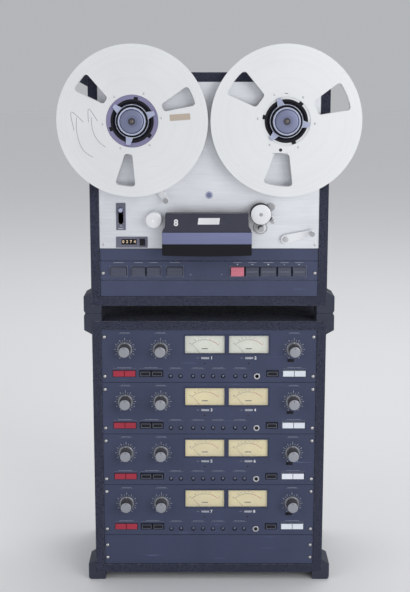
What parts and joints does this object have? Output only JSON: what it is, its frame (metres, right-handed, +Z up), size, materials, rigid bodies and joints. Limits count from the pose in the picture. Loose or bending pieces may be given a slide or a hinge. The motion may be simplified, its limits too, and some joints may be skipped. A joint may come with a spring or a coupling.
{
  "type": "reel-to-reel tape recorder",
  "caption": "Upright reel-to-reel tape recorder: a transport cabinet with open reels, heads and key row, stacked on a cabinet of recording amplifiers with level meters and knobs.",
  "frame": {"origin": "on the floor, under the middle of the recorder's overall box", "axes": "+Z up, +X to the right as seen from the front, -Y towards the viewer of the front panels"},
  "size_m": [0.5376, 0.3051, 1.0058],
  "materials": {
    "cabinet_vinyl": "pebbled vinyl covering",
    "deck_aluminium": "brushed and clear anodised",
    "panel_charcoal": "satin with fine speckle",
    "knob_silver": "spun cap on a dark body",
    "reel_aluminium": "satin anodised",
    "hub_plastic": "moulded",
    "black_plastic": "moulded, satin",
    "grey_plastic": "moulded, satin",
    "red_key": "moulded, glossy",
    "motor_paint": "black enamel",
    "zinc_sheet": "zinc plated sheet",
    "white_metal": "bright satin",
    "polished_steel": "ground and polished",
    "pinch_rubber": "matt ground rubber"
  },
  "bodies": {
    "recorder": {"rack_case": "cabinet_vinyl", "blank_panel": "panel_charcoal", "amplifier_1": "panel_charcoal", "amplifier_2": "panel_charcoal", "amplifier_3": "panel_charcoal", "amplifier_4": "panel_charcoal", "transport_case": "cabinet_vinyl", "transport_chassis": "zinc_sheet", "deck_plate": "deck_aluminium", "key_panel": "panel_charcoal", "lower_panel": "panel_charcoal", "transport_back_cover": "zinc_sheet", "left_reel_motor": "motor_paint", "right_reel_motor": "motor_paint", "capstan_motor": "polished_steel", "head_block": "polished_steel", "head_housing": "black_plastic", "counter_unit": "black_plastic"},
    "left_reel": {"left_reel_table": "black_plastic", "left_hub_adapter": "black_plastic", "left_reel_rear_flange": "reel_aluminium", "left_reel_hub": "hub_plastic", "left_reel_front_flange": "reel_aluminium"},
    "left_adapter_lock_knob": {"left_adapter_knob": "black_plastic"},
    "right_reel": {"right_reel_table": "black_plastic", "right_hub_adapter": "black_plastic", "right_reel_rear_flange": "reel_aluminium", "right_reel_hub": "hub_plastic", "right_reel_front_flange": "reel_aluminium"},
    "right_adapter_lock_knob": {"right_adapter_knob": "black_plastic"},
    "guide_roller_body": {"guide_roller": "white_metal"},
    "capstan_body": {"capstan": "polished_steel"},
    "pinch_arm_body": {"pinch_arm": "polished_steel"},
    "pinch_roller_body": {"pinch_roller": "pinch_rubber"},
    "left_tension_arm_body": {"left_tension_arm": "white_metal"},
    "right_tension_arm_body": {"right_tension_arm": "white_metal"},
    "head_cover_body": {"head_cover": "black_plastic"},
    "cue_lever_body": {"cue_lever": "grey_plastic"},
    "counter_reset_body": {"counter_reset_button": "grey_plastic"},
    "power_key_body": {"power_key": "grey_plastic"},
    "low_speed_key_body": {"low_speed_key": "grey_plastic"},
    "high_speed_key_body": {"high_speed_key": "grey_plastic"},
    "cue_key_body": {"cue_key": "grey_plastic"},
    "record_key_body": {"record_key": "red_key"},
    "rewind_key_body": {"rewind_key": "grey_plastic"},
    "stop_key_body": {"stop_key": "grey_plastic"},
    "play_key_body": {"play_key": "grey_plastic"},
    "forward_key_body": {"forward_key": "grey_plastic"},
    "record_level_knob_1_body": {"record_level_knob_1": "knob_silver"},
    "record_level_knob_2_body": {"record_level_knob_2": "knob_silver"},
    "output_level_knob_1_body": {"output_level_knob_1": "knob_silver"},
    "record_level_knob_3_body": {"record_level_knob_3": "knob_silver"},
    "record_level_knob_4_body": {"record_level_knob_4": "knob_silver"},
    "output_level_knob_2_body": {"output_level_knob_2": "knob_silver"},
    "record_level_knob_5_body": {"record_level_knob_5": "knob_silver"},
    "record_level_knob_6_body": {"record_level_knob_6": "knob_silver"},
    "output_level_knob_3_body": {"output_level_knob_3": "knob_silver"},
    "record_level_knob_7_body": {"record_level_knob_7": "knob_silver"},
    "record_level_knob_8_body": {"record_level_knob_8": "knob_silver"},
    "output_level_knob_4_body": {"output_level_knob_4": "knob_silver"}
  },
  "joints": [
    {"name": "left_reel_spin", "type": "hinge", "parent": "recorder", "child": "left_reel", "pos_m": [-0.1355, -0.10275, 0.8725], "axis": [0, -1, 0], "continuous": true},
    {"name": "left_adapter_lock", "type": "hinge", "parent": "left_reel", "child": "left_adapter_lock_knob", "pos_m": [-0.1355, -0.10275, 0.8725], "axis": [0, -1, 0], "range_deg": [0, 60]},
    {"name": "right_reel_spin", "type": "hinge", "parent": "recorder", "child": "right_reel", "pos_m": [0.1355, -0.10275, 0.8725], "axis": [0, -1, 0], "continuous": true},
    {"name": "right_adapter_lock", "type": "hinge", "parent": "right_reel", "child": "right_adapter_lock_knob", "pos_m": [0.1355, -0.10275, 0.8725], "axis": [0, -1, 0], "range_deg": [0, 60]},
    {"name": "guide_roller_spin", "type": "hinge", "parent": "recorder", "child": "guide_roller_body", "pos_m": [-0.099, -0.10275, 0.6967], "axis": [0, -1, 0], "continuous": true},
    {"name": "capstan_spin", "type": "hinge", "parent": "recorder", "child": "capstan_body", "pos_m": [0.0931, -0.10275, 0.6807], "axis": [0, -1, 0], "continuous": true},
    {"name": "pinch_arm_swing", "type": "hinge", "parent": "recorder", "child": "pinch_arm_body", "pos_m": [0.112, -0.10275, 0.7178], "axis": [0, -1, 0], "range_deg": [0, 5], "stiffness_Nm_per_rad": 0.1, "springref_deg": -17.19},
    {"name": "pinch_roller_spin", "type": "hinge", "parent": "pinch_arm_body", "child": "pinch_roller_body", "pos_m": [0.0927, -0.10275, 0.7068], "axis": [0, -1, 0], "continuous": true},
    {"name": "left_tension_arm_swing", "type": "hinge", "parent": "recorder", "child": "left_tension_arm_body", "pos_m": [-0.128, -0.10275, 0.7987], "axis": [0, -1, 0], "range_deg": [0, 22], "stiffness_Nm_per_rad": 0.06, "springref_deg": -20.05},
    {"name": "right_tension_arm_swing", "type": "hinge", "parent": "recorder", "child": "right_tension_arm_body", "pos_m": [0.1386, -0.10275, 0.6596], "axis": [0, -1, 0], "range_deg": [0, 30], "stiffness_Nm_per_rad": 0.06, "springref_deg": -20.05},
    {"name": "head_cover_flip", "type": "hinge", "parent": "recorder", "child": "head_cover_body", "pos_m": [-0.00405, -0.15275, 0.6781], "axis": [1, 0, 0], "range_deg": [0, 100]},
    {"name": "cue_lever_slide", "type": "slide", "parent": "recorder", "child": "cue_lever_body", "axis": [0, 0, -1], "range_m": [0, 0.021]},
    {"name": "counter_reset_push", "type": "slide", "parent": "recorder", "child": "counter_reset_body", "axis": [0, 1, 0], "range_m": [0, 0.0025], "stiffness_N_per_m": 200},
    {"name": "power_key_push", "type": "slide", "parent": "recorder", "child": "power_key_body", "axis": [0, 1, 0], "range_m": [0, 0.003], "stiffness_N_per_m": 250},
    {"name": "low_speed_key_push", "type": "slide", "parent": "recorder", "child": "low_speed_key_body", "axis": [0, 1, 0], "range_m": [0, 0.003], "stiffness_N_per_m": 250},
    {"name": "high_speed_key_push", "type": "slide", "parent": "recorder", "child": "high_speed_key_body", "axis": [0, 1, 0], "range_m": [0, 0.003], "stiffness_N_per_m": 250},
    {"name": "cue_key_push", "type": "slide", "parent": "recorder", "child": "cue_key_body", "axis": [0, 1, 0], "range_m": [0, 0.003], "stiffness_N_per_m": 250},
    {"name": "record_key_push", "type": "slide", "parent": "recorder", "child": "record_key_body", "axis": [0, 1, 0], "range_m": [0, 0.003], "stiffness_N_per_m": 250},
    {"name": "rewind_key_push", "type": "slide", "parent": "recorder", "child": "rewind_key_body", "axis": [0, 1, 0], "range_m": [0, 0.003], "stiffness_N_per_m": 250},
    {"name": "stop_key_push", "type": "slide", "parent": "recorder", "child": "stop_key_body", "axis": [0, 1, 0], "range_m": [0, 0.003], "stiffness_N_per_m": 250},
    {"name": "play_key_push", "type": "slide", "parent": "recorder", "child": "play_key_body", "axis": [0, 1, 0], "range_m": [0, 0.003], "stiffness_N_per_m": 250},
    {"name": "forward_key_push", "type": "slide", "parent": "recorder", "child": "forward_key_body", "axis": [0, 1, 0], "range_m": [0, 0.003], "stiffness_N_per_m": 250},
    {"name": "record_level_knob_1_turn", "type": "hinge", "parent": "recorder", "child": "record_level_knob_1_body", "pos_m": [-0.156, -0.10275, 0.4532], "axis": [0, -1, 0], "range_deg": [-150, 150]},
    {"name": "record_level_knob_2_turn", "type": "hinge", "parent": "recorder", "child": "record_level_knob_2_body", "pos_m": [-0.09, -0.10275, 0.4532], "axis": [0, -1, 0], "range_deg": [-150, 150]},
    {"name": "output_level_knob_1_turn", "type": "hinge", "parent": "recorder", "child": "output_level_knob_1_body", "pos_m": [0.1575, -0.10275, 0.4532], "axis": [0, -1, 0], "range_deg": [-150, 150]},
    {"name": "record_level_knob_3_turn", "type": "hinge", "parent": "recorder", "child": "record_level_knob_3_body", "pos_m": [-0.156, -0.10275, 0.3532], "axis": [0, -1, 0], "range_deg": [-150, 150]},
    {"name": "record_level_knob_4_turn", "type": "hinge", "parent": "recorder", "child": "record_level_knob_4_body", "pos_m": [-0.09, -0.10275, 0.3532], "axis": [0, -1, 0], "range_deg": [-150, 150]},
    {"name": "output_level_knob_2_turn", "type": "hinge", "parent": "recorder", "child": "output_level_knob_2_body", "pos_m": [0.1575, -0.10275, 0.3532], "axis": [0, -1, 0], "range_deg": [-150, 150]},
    {"name": "record_level_knob_5_turn", "type": "hinge", "parent": "recorder", "child": "record_level_knob_5_body", "pos_m": [-0.156, -0.10275, 0.2532], "axis": [0, -1, 0], "range_deg": [-150, 150]},
    {"name": "record_level_knob_6_turn", "type": "hinge", "parent": "recorder", "child": "record_level_knob_6_body", "pos_m": [-0.09, -0.10275, 0.2532], "axis": [0, -1, 0], "range_deg": [-150, 150]},
    {"name": "output_level_knob_3_turn", "type": "hinge", "parent": "recorder", "child": "output_level_knob_3_body", "pos_m": [0.1575, -0.10275, 0.2532], "axis": [0, -1, 0], "range_deg": [-150, 150]},
    {"name": "record_level_knob_7_turn", "type": "hinge", "parent": "recorder", "child": "record_level_knob_7_body", "pos_m": [-0.156, -0.10275, 0.1532], "axis": [0, -1, 0], "range_deg": [-150, 150]},
    {"name": "record_level_knob_8_turn", "type": "hinge", "parent": "recorder", "child": "record_level_knob_8_body", "pos_m": [-0.09, -0.10275, 0.1532], "axis": [0, -1, 0], "range_deg": [-150, 150]},
    {"name": "output_level_knob_4_turn", "type": "hinge", "parent": "recorder", "child": "output_level_knob_4_body", "pos_m": [0.1575, -0.10275, 0.1532], "axis": [0, -1, 0], "range_deg": [-150, 150]}
  ]
}
